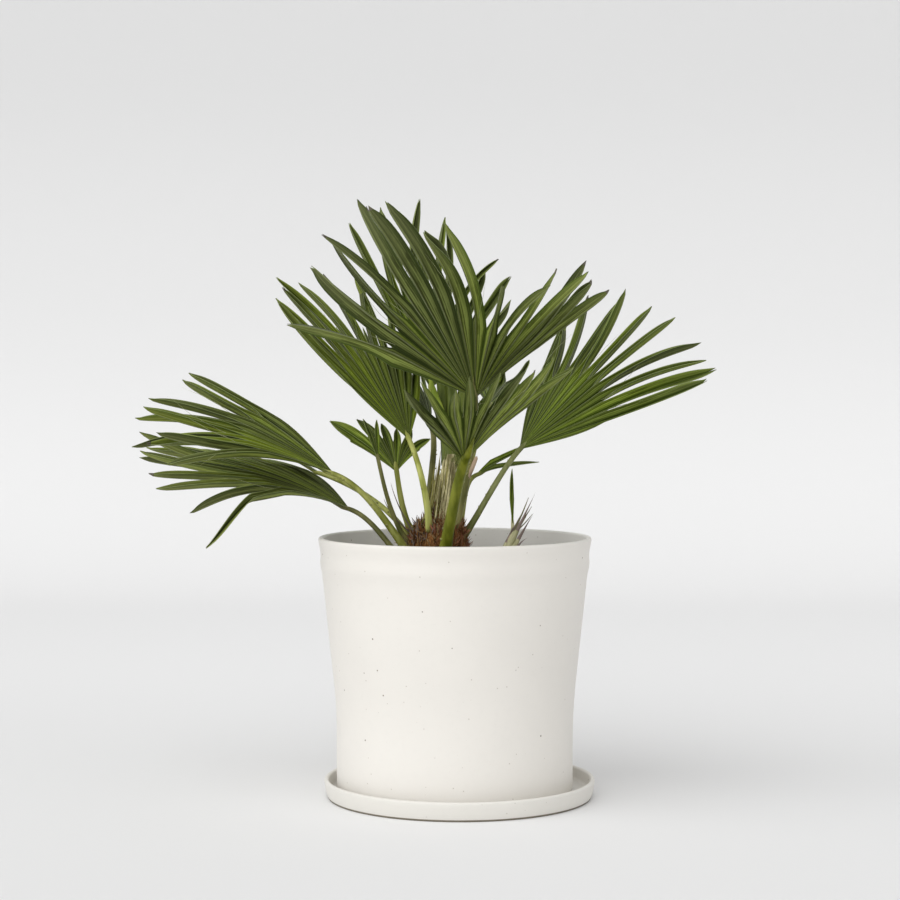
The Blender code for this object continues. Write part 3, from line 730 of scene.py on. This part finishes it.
def make_soil():
    """The potting mix: a rough top, and crumbs of bark and peat on it."""
    wall = pot_radius(SOIL_EDGE) - POT_WALL - 2 * CLEAR
    cage = bmesh.new()

    def bed(turn, share):
        spot = around(turn) * wall * share
        edge = max(0.0, share - SOIL_ROUND_FROM) / (1 - SOIL_ROUND_FROM)
        return spot + UP * (soil_height(spot.x, spot.y) - SOIL_ROUND * edge)

    sheet(cage, ring(180), 60, bed)
    close(cage)
    skirt = [edge for edge in cage.edges if edge.is_boundary]
    lower = bmesh.ops.extrude_edge_only(cage, edges=skirt)["geom"]
    points = [point for point in lower if isinstance(point, bmesh.types.BMVert)]
    bmesh.ops.scale(cage, verts=points, vec=(0.99, 0.99, 1.0))
    bmesh.ops.translate(cage, verts=points, vec=UP * -SOIL_DEPTH)
    bmesh.ops.contextual_create(cage, geom=[edge for edge in cage.edges if edge.is_boundary])
    close(cage)
    piece(cage, "potting_mix", ["soil"], "soil", "potting_soil")

    draw = Random(41)
    noise.seed_set(41)
    cage = bmesh.new()
    small, large = CRUMB_SIZES
    for i in range(CRUMBS):
        turn, out = draw.uniform(0, 2 * pi), (wall - large) * sqrt(draw.random())
        size = draw.uniform(0, 1) ** 2 * (large - small) + small
        x, y = out * cos(turn), out * sin(turn)
        place = Matrix.Translation((x, y, soil_height(x, y) + size * 0.15))
        tilt = Quaternion((draw.gauss(0, 1), draw.gauss(0, 1), draw.gauss(0, 1)), draw.uniform(0, 3))
        flat = Matrix.Diagonal((*[draw.uniform(*sides) for sides in CRUMB_SHAPE], 1))
        made = bmesh.ops.create_icosphere(cage, subdivisions=1, radius=size,
                                          matrix=place @ tilt.to_matrix().to_4x4() @ flat)
        for point in made["verts"]:
            point.co += noise.noise_vector(point.co * 900) * size * CRUMB_ROUGH
            for face in point.link_faces:
                face.material_index = i % 3 // 2
    piece(cage, "soil_crumbs", ["soil", "bark_crumbs"], "soil")


def trunk_axis(height):
    return TRUNK_FOOT + Vector((TRUNK_LEAN * max(0.0, height - LEAN_START), 0.0, height))


def trunk_radius(height):
    for (low, wide), (high, narrow) in zip(TRUNK_RINGS, TRUNK_RINGS[1:]):
        if height <= high:
            return wide + (narrow - wide) * (height - low) / (high - low)
    return TRUNK_RINGS[-1][1]


def around(turn):
    """The direction at this share of a full turn."""
    return Vector((cos(2 * pi * turn), sin(2 * pi * turn), 0.0))


def heading(degrees):
    return around(degrees / 360)


def strand(cage, points, radius, index=0, sides=3):
    """A thin thread through its points, drawn out to a tip."""
    last = len(points) - 1

    def place(turn, share):
        i = min(last - 1, int(share * last))
        along = (points[i + 1] - points[i]).normalized()
        side = along.orthogonal().normalized()
        spot = points[i].lerp(points[i + 1], share * last - i)
        wide = radius * (1 - share ** 3) + radius * 0.05
        return spot + Quaternion(along, 2 * pi * turn) @ side * wide

    sheet(cage, ring(sides), last, place, lambda a, b: index)


def wander(draw, start, along, length, steps, stray):
    """Points of a thread that starts along a direction and strays from it."""
    points, spot, way = [start], start.copy(), along.normalized()
    for _ in range(steps):
        way = (way + Vector([draw.gauss(0, stray) for _ in range(3)])).normalized()
        spot = spot + way * length / steps
        points.append(spot)
    return points


def make_trunk():
    """A bulb of matted fibre with the pale sheath of the next leaf standing out of it."""
    top = TRUNK_RINGS[-1][0]
    cage = bmesh.new()

    def bark(turn, share):
        height = top * share
        out = around(turn)
        coarse = noise.fractal(Vector((out.x * 5, out.y * 5, height * 55)), 0.9, 2.0, 3)
        fine = noise.noise(Vector((out.x * 21, out.y * 21, height * 60)))
        soft = 1.0 if height < SHEATH_FOOT else SHEATH_SMOOTH
        radius = trunk_radius(height) + soft * (BARK_COARSE * coarse + BARK_FINE * fine)
        if share in (0.0, 1.0):
            radius = 0.0
        return trunk_axis(height) + out * radius

    sheet(cage, ring(120), 90, bark, lambda a, b: int(b * top > SHEATH_FOOT))
    close(cage)
    piece(cage, "fibrous_trunk", ["fibre", "sheath"], "fibre", "trunk")


def ray(blade, u):
    """Direction of the ray at share u of the fan, 0 at the first edge and 1 at the last."""
    first, last = blade.first.normalized(), blade.last.normalized()
    along = first.slerp(last, u)
    face = first.cross(last).normalized()
    lean = blade.cup * sin(pi * u) + blade.warp * sin(2 * pi * u + WARP_SHIFT * sin(pi * u))
    return along * cos(lean) + face * sin(lean)


def ray_length(blade, u):
    first, last = blade.first.length, blade.last.length
    edge = first + (last - first) * u
    return edge + (blade.reach - (first + last) / 2) * sin(pi * u)


def ray_face(blade, u):
    """The upper face's normal at share u of the fan."""
    step = 0.01
    side = ray(blade, u + step) - ray(blade, u - step)
    return ray(blade, u).cross(side).normalized()


def blade_point(blade, u, share, rise=0.0, reach=None):
    """A point of the blade: share runs from 0 at the hub to 1 at the tip."""
    reach = reach or ray_length(blade, u)
    bow = Vector((0, 0, blade.bow * 4 * share * (1 - share)))
    return blade.hub + ray(blade, u) * reach * share + bow + ray_face(blade, u) * rise


def hub_radius(blade):
    return HUB_MARGIN + HUB_SCALE * blade.neck


def finer(blade):
    """The same blade with the number of segments that is seen."""
    if blade.reach < FINE_REACH:
        return blade
    count = round(segment_width(blade) * blade.count / FINE_WIDTH)
    return blade._replace(count=max(blade.count, count))


def spread_to(blade, i, side, a, part):
    """Share of the fan at a between a segment's rib and its edge, in the joined part. The blade's own
    edges spread out there."""
    outer = i == 0 and side < 0 or i == blade.count - 1 and side > 0
    wide = 1 + (MARGIN - 1) * (1 - part ** 3) if outer and blade.count > 6 and not blade.warp else 1
    return (i + 0.5 + side * 0.5 * a * wide) / blade.count


def fold_depth(blade):
    return segment_width(blade) * (SMALL_FOLD if blade.reach < 0.1 else FOLD)


def segment_width(blade):
    """Width of a segment where it leaves the joined part."""
    spread = blade.first.angle(blade.last) + abs(blade.cup)
    return spread / blade.count * blade.reach * blade.split


def bend(blade, i, face, lift, part):
    """How far segment i has left the fan's surface at this part of its free length."""
    droop = HANG * blade.droop if i == blade.count - 1 else 0.0
    down = max(0.0, (part - DROOP_START) / (1 - DROOP_START))
    return face * lift * part ** 2 - UP * droop * down ** DROOP_BEND


def straighten(blade, i, share):
    """Takes the part's own arch off a free segment, which runs on straight from the joined part, and
    ends a little higher."""
    left = (1 - share) / (1 - blade.split)
    rise = 0.0 if blade.droop and i == blade.count - 1 else TIP_RISE
    line = 4 * blade.split * (1 - blade.split) * left + rise * (1 - left)
    return UP * blade.bow * (line - 4 * share * (1 - share))


def free_length(blade, i, tree):
    """How the part's own segment is trimmed and lifted, found by where its tip lies, or None."""
    middle = (i + 0.5) / blade.count
    face = ray_face(blade, middle)
    for trim in TRIMS:
        share = blade.split + (1 - blade.split) * trim
        for lift in LIFTS:
            droop = blade.droop if i == blade.count - 1 else 0.0
            tip = blade_point(blade, middle, share) + (face * lift - UP * droop) * trim ** 2
            if tree.find_nearest(tip)[3] < TIP_MATCH:
                return trim, lift
    return None


def whim_of(draw, calm):
    """What makes each segment a little different from its neighbours. calm: less of it, from 0 to 1."""
    return SimpleNamespace(
        sway=draw.gauss(0, SWAY), curl=draw.gauss(0, CURL), sag=draw.uniform(0, SAG),
        twist=radians(TWIST) * draw.uniform(-1, 1) ** 3 * calm,
        close=radians(draw.uniform(*CLOSING)) * calm, length=draw.uniform(SHORTER, 1),
        fork=draw.uniform(*FORK_START), gap=draw.uniform(*FORK_GAP) * FORK_WIDTH,
        # the copies of the green that its two halves take, as painted light and shade on its fold
        lit_shaded=draw.choice(LIT_SHADED_PAIRS), dry=draw.uniform(*DRY_FROM))


def joined_point(blade, i, side, a, part):
    """A point of the pleated part, with a from the rib to the edge and part from 0 to 1."""
    width = segment_width(blade)
    u = spread_to(blade, i, side, a, part)
    start = HUB_START / ray_length(blade, u)
    share = start + (blade.split - start) * part
    rise = part ** PLEAT_DEEPENS * (fold_depth(blade) * (a - 0.5) + width * BULGE * sin(pi * a))
    return blade_point(blade, u, share, rise)


def free_point(blade, i, side, a, s, trim, lift, whim):
    """A point of the free part of a segment, with a from the rib to the edge and s from 0 to 1."""
    width = segment_width(blade)
    middle = (i + 0.5) / blade.count
    trim *= whim.length
    share = blade.split + (1 - blade.split) * s * trim
    early = sin(min(1.0, s * EARLY) * pi / 2)
    end = s ** (SMALL_TAPER if blade.reach < FINE_REACH else STRAP_TAPER)
    taper = (1 - end) * (1 - (1 - STRAP_WAIST) * early)
    slim = WARPED_EDGE + (1 - WARPED_EDGE) * (1 - early) if blade.warp and i == 0 else 1
    half = 0.5 * side / blade.count * slim * blade.split / share
    fold = fold_depth(blade) / 2
    rib = blade_point(blade, middle, share, -fold)
    reach = ray_length(blade, middle + half) * (1 - early) + ray_length(blade, middle) * early
    edge = blade_point(blade, middle + half, share, fold, reach) - rib
    along, face = ray(blade, middle), ray_face(blade, middle)
    parted = whim.gap * max(0.0, s - whim.fork) / (1 - whim.fork)
    reach = edge * (parted + taper * a) + face * (width * BULGE * taper * sin(pi * a))
    reach = Quaternion(along, whim.twist * s * s + side * whim.close * early) @ reach
    drift = face.cross(along) * whim.sway + face * whim.curl - UP * whim.sag
    away = bend(blade, i, face, lift, s * trim) + straighten(blade, i, share)
    away += drift * ray_length(blade, middle) * (s * trim) ** 2
    return rib + face * (fold * end) + away + reach


def make_blade(blade):
    """A pleated fan: each segment is two strips, joined along its rib and parted near its tip."""
    tree = tree_of(f"blade_{blade.name}")
    draw = Random(f"leaf {blade.name}")
    cage = bmesh.new()
    fine = finer(blade)
    for i in range(fine.count):
        whim = whim_of(draw, min(1.0, blade.reach / FINE_REACH))
        found = free_length(blade, int((i + 0.5) / fine.count * blade.count), tree)
        rows = JOINED_ROWS + (FREE_ROWS if found else 0)

        def place(a, b, side):
            row = b * rows
            if row <= JOINED_ROWS:
                return joined_point(fine, i, side, a, row / JOINED_ROWS)
            return free_point(fine, i, side, a, (row - JOINED_ROWS) / FREE_ROWS, *found, whim)

        def paint(a, b, tint):
            if b > whim.dry:
                return DRY
            if a < RIB_SHARE:
                return HUB if b * rows < HUB_ROWS else RIB
            return tint

        for side, across in ((-1, ACROSS), (1, ACROSS[::-1])):
            # each half of the segment takes its own copy of the green, so the fold gets a painted lit
            # side and a painted shaded side
            tint = whim.lit_shaded[(side + 1) // 2]
            sheet(cage, across, rows, lambda a, b: place(a, b, side), lambda a, b: paint(a, b, tint))
    bmesh.ops.remove_doubles(cage, verts=cage.verts, dist=MERGE)
    made = piece(cage, f"leaf_{blade.name}", blade_finishes(blade.tone), "blade",
                 f"blade_{blade.name}", crease=CREASE)
    thick = made.modifiers.new("thick", "SOLIDIFY")
    thick.thickness = BLADE_THICK
    thick.offset = 0.0
    thick.material_offset = FACE
    thick.material_offset_rim = 0


def bezier(a, b, c, d, steps):
    """Points along a cubic curve."""
    points = []
    for i in range(steps + 1):
        t = i / steps
        s = 1 - t
        points.append(a * s ** 3 + b * 3 * s * s * t + c * 3 * s * t * t + d * t ** 3)
    return points


def stalk_end(blade):
    """Where the part's stalk stops on its line."""
    along, hub = ray(blade, 0.5), hub_radius(blade)
    samples = [ray(blade, i / 60) for i in range(61)]
    tip = STALK_TIP * blade.neck + CLEAR
    near = [one.dot(along) for one in samples if hub * sin(one.angle(along)) < tip]
    return hub * min(near) - CLEAR


def stalk_route(blade, trunk):
    """Points along the stalk, from inside the trunk to under the blade, and its radius at each."""
    if len(blade.seat) == 3:
        spot, normal = Vector(blade.seat), UP
    else:
        out = heading(blade.seat[0])
        axis = trunk_axis(blade.seat[1] - TRUNK_FOOT.z)
        spot, normal, _, _ = trunk.ray_cast(axis + out, -out)
    foot = spot + normal * CLEAR
    start = foot + normal * STALK_STUB * blade.foot
    along = ray(blade, 0.5)
    end = blade_point(blade, 0.5, stalk_end(blade) / ray_length(blade, 0.5))
    span = (end - start).length
    rise = (normal + UP).normalized()
    steps = max(20, round(span / 0.005))
    middle = bezier(start, start + rise * FOOT_PULL * span, end - along * NECK_PULL * span, end, steps)
    shares = [(1 + (STALK_STEPS - 1) * i / steps) / STALK_STEPS for i in range(steps + 1)]
    points = [foot - normal * STALK_SUNK, foot, *middle]
    radii = [blade.foot * 1.05, blade.foot * 1.02]
    radii += [blade.foot + (blade.neck - blade.foot) * share ** STALK_TAPER for share in shares]
    under = ray_face(blade, 0.5) * (-0.35 * blade.neck)
    for far, wide in STALK_TAIL:
        points.append(blade_point(blade, 0.5, hub_radius(blade) * far / ray_length(blade, 0.5)) + under)
        radii.append(blade.neck * wide)
    return points, radii


def frames_along(points, top):
    """The direction and the upward side at each point, turning as little as possible."""
    last = len(points) - 1
    ways = [(points[min(i + 1, last)] - points[max(i - 1, 0)]).normalized() for i in range(last + 1)]
    tops = []
    for way in reversed(ways):
        top = (top - way * top.dot(way)).normalized()
        tops.append(top)
    return ways, tops[::-1]


def make_stalk(blade, trunk):
    """A stalk flat above and round below, with small spines on its edges and a broad foot."""
    points, radii = stalk_route(blade, trunk)
    ways, tops = frames_along(points, ray_face(blade, 0.5))
    last = len(points) - 1
    draw = Random(f"stalk {blade.name}")
    cage = bmesh.new()

    def place(turn, share):
        i = round(share * last)
        side = ways[i].cross(tops[i])
        if i in (0, last):
            return points[i].copy()
        swell = 1 + STALK_UNEVEN * noise.noise(points[i] * 120)
        clasp = 1 + CLASP * exp(-(share / CLASP_REACH) ** 2)
        across, rise, _ = around(turn)
        depth = STALK_TOP if rise > 0 else STALK_BELLY
        return points[i] + (side * across * clasp + tops[i] * rise * depth) * radii[i] * swell

    sheet(cage, ring(14), last, place, lambda a, b: 0)

    def spine(i, hand):
        side = ways[i].cross(tops[i]) * hand
        root = points[i] + side * radii[i] * SPINE_SEAT
        length = radii[i] * draw.uniform(*SPINE_LENGTH)
        tip = root + (side + ways[i] * 0.8).normalized() * length
        strand(cage, [root, root.lerp(tip, 0.5), tip], radii[i] * SPINE_WIDTH, 1, 4)

    if blade.neck > SPINY_NECK:
        for i in range(*[round(last * share) for share in SPINES]):
            for hand in (-1, 1):
                if draw.random() < SPINE_CHANCE:
                    spine(i, hand)
    close(cage)
    piece(cage, f"stem_{blade.name}", [f"stalk_{blade.stalk}", "spine"], "stalk",
          f"stalk_{blade.name}")


def on_trunk(degrees, height, over=0.0):
    """A point of the trunk's face by heading and height, raised off it by a distance."""
    return trunk_axis(height) + heading(degrees) * (trunk_radius(height) + over)


def make_hair():
    """Matted and loose fibres on the trunk, in four shades."""
    draw = Random(7)
    cage = bmesh.new()
    for i in range(HAIRS):
        climbs = i % 3 == 0
        turn = draw.uniform(0, 360)
        height = SHEATH_FOOT * draw.random() ** 0.8 + 0.002
        if climbs:
            turn = draw.gauss(CLIMB_SIDE, CLIMB_SPREAD)
            height = SHEATH_FOOT + (CLIMB_TOP - SHEATH_FOOT) * draw.random() ** 1.5
        root = on_trunk(turn, height, -HAIR_ROOT)
        out = heading(turn)
        loose = draw.random() < LOOSE_HAIRS
        side = UP.cross(out) * draw.gauss(0, 0.7 if loose else 0.35)
        rise = UP * draw.uniform(0.6, 1.3)
        way = rise + out * draw.uniform(0.2, 0.9) * (1.0 if loose else 0.22) + side
        long = draw.uniform(*HAIR_LENGTH) * (CLIMB_LENGTH if climbs else 1.0)
        points = wander(draw, root, way, long, steps=5, stray=0.30 if loose else 0.16)
        thick = draw.uniform(*(LOOSE_RADIUS if loose else HAIR_RADIUS))
        strand(cage, points, thick, draw.choice((0, 0, 0, 1, 3 if out.x < -0.2 else 2)))
    close(cage)
    piece(cage, "trunk_fibres", ["fibre", "fibre_light", "boot", "dead_tip"], "fibre")


def make_sheath():
    """The upright pale sheath: parallel strips and threads round the top of the trunk."""
    draw = Random(19)
    top = TRUNK_RINGS[-1][0]
    cage = bmesh.new()
    for i in range(SHEATH_STRIPS):
        turn = 360 * i / SHEATH_STRIPS + draw.uniform(-4, 4)
        low, high = SHEATH_FOOT - 0.004, top + draw.uniform(*SHEATH_ENDS)
        lean = heading(turn).x
        stray = SHEATH_STRAY * draw.random() * (-lean if lean < 0 else 0.4 * lean)
        green = lean < 0 and stray > 0.6 * SHEATH_STRAY
        points = []
        for step in range(SHEATH_STEPS + 1):
            height = low + (high - low) * step / SHEATH_STEPS
            turn += draw.gauss(0, 2.2)
            over = CLEAR + SHEATH_FRAY * max(0.0, step + 2 - SHEATH_STEPS) / 2 * draw.random() + stray
            points.append(on_trunk(turn, min(height, top), over) + UP * max(0.0, height - top))
        thick = draw.uniform(*BRISTLE)
        strand(cage, points, thick, draw.choice((0, 0, 0, 1)) or int(green), 4)
    close(cage)
    piece(cage, "pale_sheath", ["sheath", "sheath_green"], "fibre")


def make_boots():
    """Stubs of old leaf bases round the trunk, split into fibres at their ends."""
    draw = Random(23)
    cage = bmesh.new()
    for i in range(BOOT_COUNT):
        height = BOOT_FIRST + BOOT_STEP * i
        out = heading(BOOT_START + BOOT_TURN * i)
        root = trunk_axis(height) + out * (trunk_radius(height) - BOOT_SUNK)
        tip = root + out * BOOT_REACH.x + UP * BOOT_REACH.z
        along, side = tip - root, UP.cross(out)
        for _ in range(BOOT_STRANDS):
            start = root + side * draw.uniform(-1, 1) * BOOT_WIDTH
            points = wander(draw, start, along, along.length * draw.uniform(0.8, 1.25),
                            steps=5, stray=0.1)
            strand(cage, points, draw.uniform(*BRISTLE), draw.choice((0, 0, 1)), 5)
    close(cage)
    piece(cage, "old_leaf_bases", ["boot", "fibre_light"], "fibre")


def spike(cage, foot, bow, tip, radius, paint, fade):
    """A stiff shoot from its foot through a bow to its tip. fade: how early it thins out."""
    foot, bow, tip = Vector(foot), Vector(bow), Vector(tip)
    curve = bezier(foot, foot.lerp(bow, 0.7), bow.lerp(tip, 0.3), tip, SPIKE_STEPS)
    ways, tops = frames_along(curve, Vector((0, -1, 0.3)))

    def place(turn, share):
        i = round(share * SPIKE_STEPS)
        across, rise, _ = around(turn)
        side = ways[i].cross(tops[i]) * across + tops[i] * rise * SPIKE_FLAT
        return curve[i] + side * radius * ((1 - share) ** fade * 0.92 + 0.08 * (1 - share))

    sheet(cage, ring(8), SPIKE_STEPS, place, lambda a, b: paint(b))


def make_spikes(name, shoots, skins, slot, fade, paint=lambda i, share: 0):
    """A piece of several spikes. paint(i, share) gives the number of spike i's finish."""
    cage = bmesh.new()
    for i, shoot in enumerate(shoots):
        spike(cage, *shoot, lambda share: paint(i, share), fade)
    close(cage)
    piece(cage, name, skins, slot)


def make_shoots():
    """Dead shoots, the cut stub of a stalk, the folded young leaves over the sheath, and the
    offshoot's overlapping sheaths, which end in dry spikes."""
    make_spikes("dead_shoots", DEAD_SHOOTS, ["dead_tip"], "fibre", 0.5)
    make_spikes("cut_stub", [CUT_STUB], ["cut_stub"], "fibre", 0.12)
    make_spikes("folded_leaf", YOUNG_LEAF, ["fresh_leaf", "tender_leaf"], "blade", 0.5,
                lambda i, share: int(i > 0 or share <= FRESH_FROM))
    make_spikes("offshoot_spikes", OFFSHOOT_SPIKES, ["stalk_young", "dead_tip"], "stalk", 1.5,
                lambda i, share: int(share > DRY_HALF))


def make_threads():
    """Hair-thin threads left along the segments when the leaf opened."""
    draw = Random(31)
    cage = bmesh.new()
    for blade in LEAVES:
        if blade.count < THREADED:
            continue
        for i in draw.sample(range(1, blade.count), THREADS):
            u = i / blade.count
            start = blade_point(blade, u, blade.split)
            way = ray(blade, u) + ray_face(blade, u) * draw.uniform(-0.15, 0.25)
            points = wander(draw, start, way, draw.uniform(*THREAD_LENGTH), steps=12, stray=0.08)
            strand(cage, points, THREAD)
    close(cage)
    piece(cage, "loose_threads", ["thread"], "blade")


def make_stage():
    """A pale floor that curves up into the wall behind the plant, painted darker towards the back and
    higher up as painted shade.
    """
    paper = Finish("backdrop_paper", 0.1)
    near, back, high = [(grey,) * 3 for grey in PAPER_AND_SHADE]
    # painted shade: the paper darkens towards the back and then higher up
    floor = paper.mix(paper.axis("Y").rise(0.8, 2.2), near, back)
    paper.done(paper.mix(paper.axis("Z").rise(0.0, 0.7), floor, high), 0.9)
    cage = bmesh.new()

    def sweep(a, b):
        run = b * STAGE_RUN
        turn = min(max(0.0, (run - STAGE_FLAT) / STAGE_BEND), pi / 2)
        wall = max(0.0, run - STAGE_FLAT - STAGE_BEND * pi / 2)
        y = min(run, STAGE_FLAT) - STAGE_FRONT + STAGE_BEND * sin(turn)
        z = STAGE_BEND * (1 - cos(turn)) + wall - STAGE_DROP
        return Vector(((a - 0.5) * STAGE_WIDTH, y, z))

    sheet(cage, (0, 0.5, 1), 120, sweep)
    backdrop = show_cage(cage, "backdrop", [paper.material])


def make_lights():
    for name, way, strength, softness in LAMPS:
        lamp = bpy.data.lights.new(name, "SUN")
        lamp.energy = strength
        lamp.angle = radians(softness)
        show(name, lamp).rotation_euler = (-Vector(way)).to_track_quat("-Z", "Y").to_euler()
    world = bpy.data.worlds.new("room")
    world.use_nodes = True
    ground = world.node_tree.nodes["Background"]
    ground.inputs["Color"].default_value = (1.0, 1.0, 1.0, 1.0)
    ground.inputs["Strength"].default_value = ROOM_LIGHT
    bpy.context.scene.world = world


def make_camera():
    lens = bpy.data.cameras.new("camera")
    lens.sensor_width = 36.0
    lens.lens = CAMERA_LENS
    camera = show("camera", lens)
    camera.location = CAMERA_PLACE
    camera.rotation_euler = (radians(CAMERA_PITCH), 0, 0)
    bpy.context.scene.camera = camera
    bpy.context.scene.view_settings.view_transform = "Standard"


def main():
    make_saucer()
    make_pot()
    make_soil()
    make_trunk()
    trunk = tree_of("trunk")
    for blade in LEAVES:
        make_stalk(blade, trunk)
        make_blade(blade)
    make_hair()
    make_sheath()
    make_boots()
    make_shoots()
    make_threads()
    make_stage()
    make_lights()
    make_camera()


finishes = make_finishes()
main()
